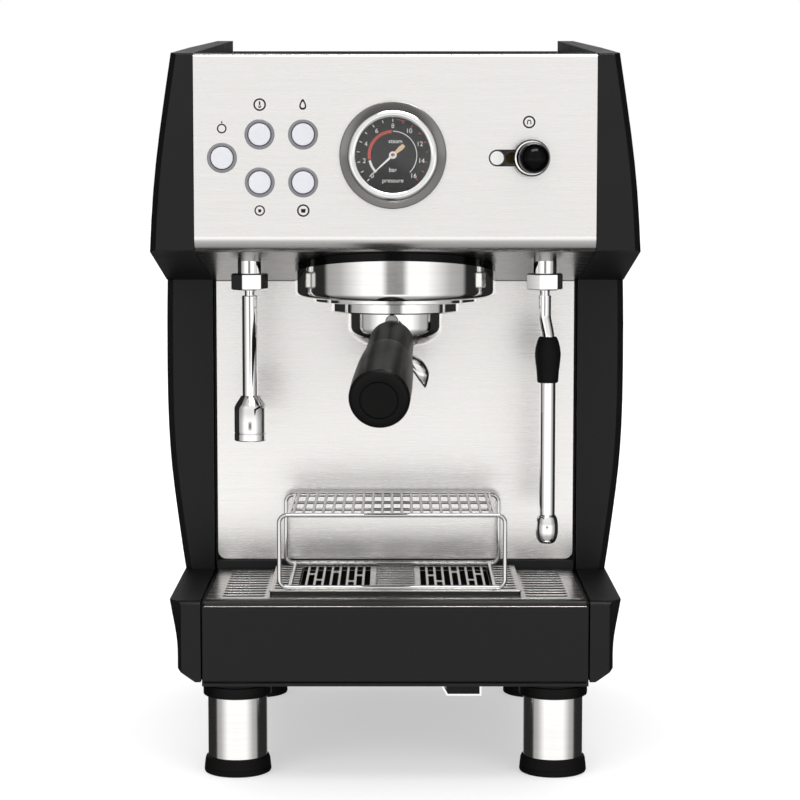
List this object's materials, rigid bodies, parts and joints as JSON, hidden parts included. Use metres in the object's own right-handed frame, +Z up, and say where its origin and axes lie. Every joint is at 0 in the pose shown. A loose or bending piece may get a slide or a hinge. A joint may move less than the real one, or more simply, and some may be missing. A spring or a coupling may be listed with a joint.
{
  "type": "espresso machine",
  "caption": "Free-standing domestic espresso machine with a group and portafilter, hot-water and steam wands, a pressure gauge, a drip tray with a cup rack, and four round legs.",
  "frame": {"origin": "on the floor, under the middle of the machine's outer box", "axes": "+X to the right seen from the front, +Y towards the back, +Z up"},
  "size_m": [0.3136, 0.4511, 0.4925],
  "materials": {
    "satin_black": "satin moulded shell",
    "black_paint": "satin powder coat",
    "brushed_steel": "fine brushed",
    "plain_steel": "plain rolled sheet",
    "polished_chrome": "polished",
    "wire_steel": "electropolished wire",
    "brass": "plain",
    "black_rubber": "matte",
    "soft_black": "fine matte",
    "gloss_black": "gloss",
    "white_cap": "satin gloss",
    "ring_grey": "anodised",
    "bezel_metal": "turned and polished",
    "dial_black": "printed",
    "needle_white": "painted",
    "clear_lens": "clear",
    "clear_tank": "smoked clear",
    "ptfe": "plain",
    "board_green": "lacquered"
  },
  "bodies": {
    "housing": {"side_panel_left": "satin_black", "side_panel_right": "satin_black", "front_panel": "brushed_steel", "backsplash": "brushed_steel", "top_cover": "brushed_steel", "rear_panel": "black_paint", "base_pan": "black_paint", "frame": "black_paint", "leg_feet": "black_rubber", "leg_tubes": "brushed_steel", "leg_collars": "soft_black", "drain_chute": "plain_steel", "group_spacer": "gloss_black", "group_cover": "polished_chrome", "group_head": "polished_chrome", "group_gasket": "black_rubber", "shower_screen": "plain_steel", "hot_water_nut": "polished_chrome", "steam_nut": "polished_chrome", "button_rings": "ring_grey", "control_board": "board_green", "gauge_bezel": "bezel_metal", "gauge_case": "plain_steel", "gauge_dial": "dial_black", "gauge_lens": "clear_lens", "lever_gate": "plain_steel", "steam_valve": "brass", "pump": "plain_steel", "brew_boiler": "brass", "steam_boiler": "brass", "power_inlet": "soft_black"},
    "steam_control": {"steam_lever": "polished_chrome", "lever_ball": "gloss_black"},
    "plunger": {"valve_plunger": "plain_steel"},
    "hot_water_ring": {"hot_water_seat": "ptfe"},
    "hot_water_arm": {"hot_water_wand": "polished_chrome", "hot_water_nozzle": "polished_chrome"},
    "steam_ring": {"steam_seat": "ptfe"},
    "steam_arm": {"steam_wand": "polished_chrome", "steam_sleeve": "black_rubber", "steam_tip": "polished_chrome"},
    "portafilter": {"portafilter_body": "polished_chrome", "filter_basket": "plain_steel", "handle_ferrule": "polished_chrome", "portafilter_handle": "soft_black", "spout_nut": "gloss_black", "twin_spout": "polished_chrome"},
    "needle": {"gauge_needle": "needle_white"},
    "tray": {"drip_tray": "brushed_steel", "tray_fascia": "satin_black"},
    "grate": {"drip_grate": "brushed_steel"},
    "rack": {"cup_rack": "wire_steel"},
    "tank": {"water_tank": "clear_tank"},
    "lid": {"tank_lid": "satin_black"},
    "rocker": {"power_rocker": "gloss_black"},
    "power_button": {"power_button": "white_cap"},
    "temperature_button": {"temperature_button": "white_cap"},
    "hot_water_button": {"hot_water_button": "white_cap"},
    "single_cup_button": {"single_cup_button": "white_cap"},
    "double_cup_button": {"double_cup_button": "white_cap"}
  },
  "joints": [
    {"name": "power_button_press", "type": "slide", "parent": "housing", "child": "power_button", "axis": [0, 1, 0], "range_m": [0, 0.0015], "stiffness_N_per_m": 400},
    {"name": "temperature_button_press", "type": "slide", "parent": "housing", "child": "temperature_button", "axis": [0, 1, 0], "range_m": [0, 0.0015], "stiffness_N_per_m": 400},
    {"name": "hot_water_button_press", "type": "slide", "parent": "housing", "child": "hot_water_button", "axis": [0, 1, 0], "range_m": [0, 0.0015], "stiffness_N_per_m": 400},
    {"name": "single_cup_button_press", "type": "slide", "parent": "housing", "child": "single_cup_button", "axis": [0, 1, 0], "range_m": [0, 0.0015], "stiffness_N_per_m": 400},
    {"name": "double_cup_button_press", "type": "slide", "parent": "housing", "child": "double_cup_button", "axis": [0, 1, 0], "range_m": [0, 0.0015], "stiffness_N_per_m": 400},
    {"name": "steam_lever_turn", "type": "hinge", "parent": "housing", "child": "steam_control", "pos_m": [0.0838, -0.11, 0.4011], "axis": [0, 0, -1], "range_deg": [0, 16]},
    {"name": "valve_plunger_slide", "type": "slide", "parent": "housing", "child": "plunger", "axis": [0, 1, 0], "range_m": [0, 0.002]},
    {"name": "hot_water_swivel", "type": "hinge", "parent": "housing", "child": "hot_water_ring", "pos_m": [-0.094, -0.092, 0.3226], "axis": [0, 0, -1], "range_deg": [-30, 50]},
    {"name": "hot_water_tilt", "type": "hinge", "parent": "hot_water_ring", "child": "hot_water_arm", "pos_m": [-0.094, -0.092, 0.3226], "axis": [-1, 0, 0], "range_deg": [0, 15]},
    {"name": "steam_swivel", "type": "hinge", "parent": "housing", "child": "steam_ring", "pos_m": [0.0965, -0.092, 0.3226], "axis": [0, 0, 1], "range_deg": [-30, 50]},
    {"name": "steam_tilt", "type": "hinge", "parent": "steam_ring", "child": "steam_arm", "pos_m": [0.0965, -0.092, 0.3226], "axis": [-1, 0, 0], "range_deg": [0, 15]},
    {"name": "portafilter_turn", "type": "hinge", "parent": "housing", "child": "portafilter", "pos_m": [0, -0.072, 0.3], "axis": [0, 0, -1], "range_deg": [0, 40]},
    {"name": "needle_turn", "type": "hinge", "parent": "housing", "child": "needle", "pos_m": [-0.0015, -0.148, 0.4028], "axis": [0, 1, 0], "range_deg": [0, 240], "stiffness_Nm_per_rad": 0.001},
    {"name": "tray_slide", "type": "slide", "parent": "housing", "child": "tray", "axis": [0, -1, 0], "range_m": [0, 0.11]},
    {"name": "grate_lift", "type": "slide", "parent": "tray", "child": "grate", "axis": [0, 0, 1], "range_m": [0, 0.025]},
    {"name": "rack_lift", "type": "slide", "parent": "grate", "child": "rack", "axis": [0, 0, 1], "range_m": [0, 0.025]},
    {"name": "tank_lift", "type": "slide", "parent": "housing", "child": "tank", "axis": [0, 0, 1], "range_m": [0, 0.12]},
    {"name": "lid_open", "type": "hinge", "parent": "tank", "child": "lid", "pos_m": [0, 0.211, 0.4655], "axis": [-1, 0, 0], "range_deg": [0, 85]},
    {"name": "rocker_tilt", "type": "hinge", "parent": "housing", "child": "rocker", "pos_m": [0.072, 0.218, 0.129], "axis": [-1, 0, 0], "range_deg": [0, 16]}
  ],
  "couplings": [
    {"joint": "valve_plunger_slide", "follows": "steam_lever_turn", "m_per_rad": 0.00716}
  ]
}
